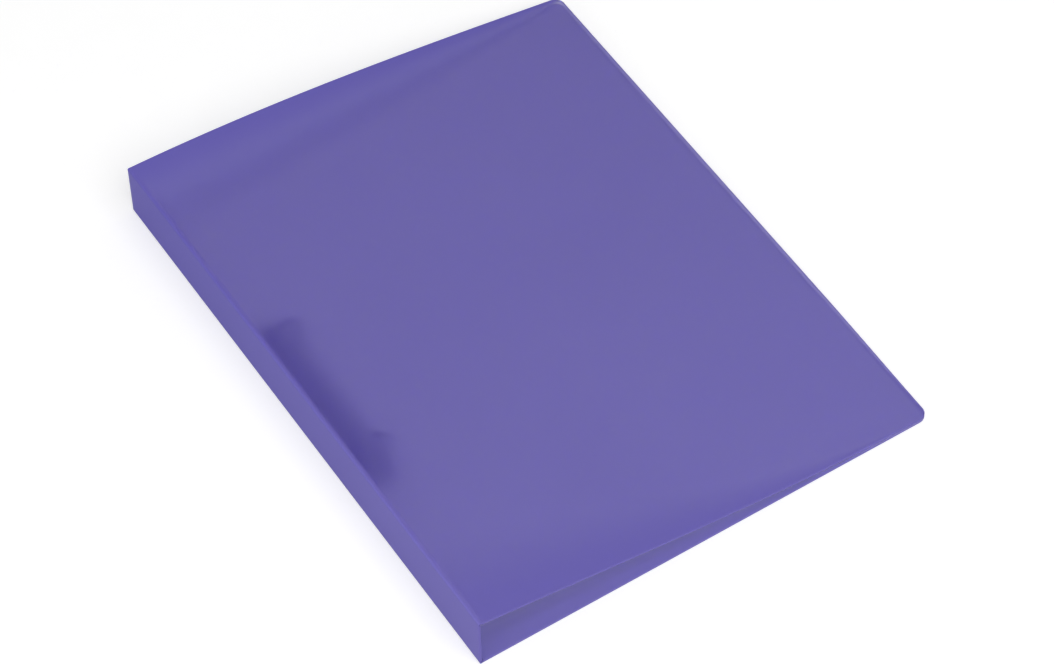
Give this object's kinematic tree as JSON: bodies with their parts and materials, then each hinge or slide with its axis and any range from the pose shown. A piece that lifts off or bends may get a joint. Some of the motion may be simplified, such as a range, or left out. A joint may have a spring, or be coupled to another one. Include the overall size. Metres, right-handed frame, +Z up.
{
  "type": "two-ring binder",
  "caption": "Closed folder of translucent plastic sheet with creased spine, bowed front cover and a riveted steel ring mechanism whose half rings open in pairs.",
  "frame": {"origin": "middle of the closed binder's footprint, on the table", "axes": "+X from the spine to the fore edge, +Y along the spine to the far end, +Z up out of the front cover"},
  "size_m": [0.252, 0.32, 0.032],
  "materials": {
    "sheet": "satin translucent",
    "plated_steel": "bright nickel plate"
  },
  "bodies": {
    "base": {"back_cover": "sheet", "ring_shield": "plated_steel", "rivet_near": "plated_steel", "rivet_far": "plated_steel", "rivet_cap_near": "plated_steel", "rivet_cap_far": "plated_steel", "spacer_near": "plated_steel", "spacer_far": "plated_steel"},
    "spine": {"spine_panel": "sheet"},
    "front": {"front_cover": "sheet"},
    "left_rings": {"rail_left": "plated_steel", "half_ring_left_near": "plated_steel", "half_ring_left_far": "plated_steel"},
    "right_rings": {"rail_right": "plated_steel", "half_ring_right_near": "plated_steel", "half_ring_right_far": "plated_steel"}
  },
  "joints": [
    {"name": "spine_fold", "type": "hinge", "parent": "base", "child": "spine", "pos_m": [-0.126, 0, 0], "axis": [0, -1, 0], "range_deg": [0, 90]},
    {"name": "front_fold", "type": "hinge", "parent": "spine", "child": "front", "pos_m": [-0.126, 0, 0.032], "axis": [0, -1, 0], "range_deg": [0, 90]},
    {"name": "rings_left", "type": "hinge", "parent": "base", "child": "left_rings", "pos_m": [-0.11785, 0, 0.003], "axis": [0, -1, 0], "range_deg": [0, 9]},
    {"name": "rings_right", "type": "hinge", "parent": "base", "child": "right_rings", "pos_m": [-0.10295, 0, 0.003], "axis": [0, 1, 0], "range_deg": [0, 9]}
  ],
  "couplings": [
    {"joint": "rings_right", "follows": "rings_left", "ratio": 1}
  ]
}
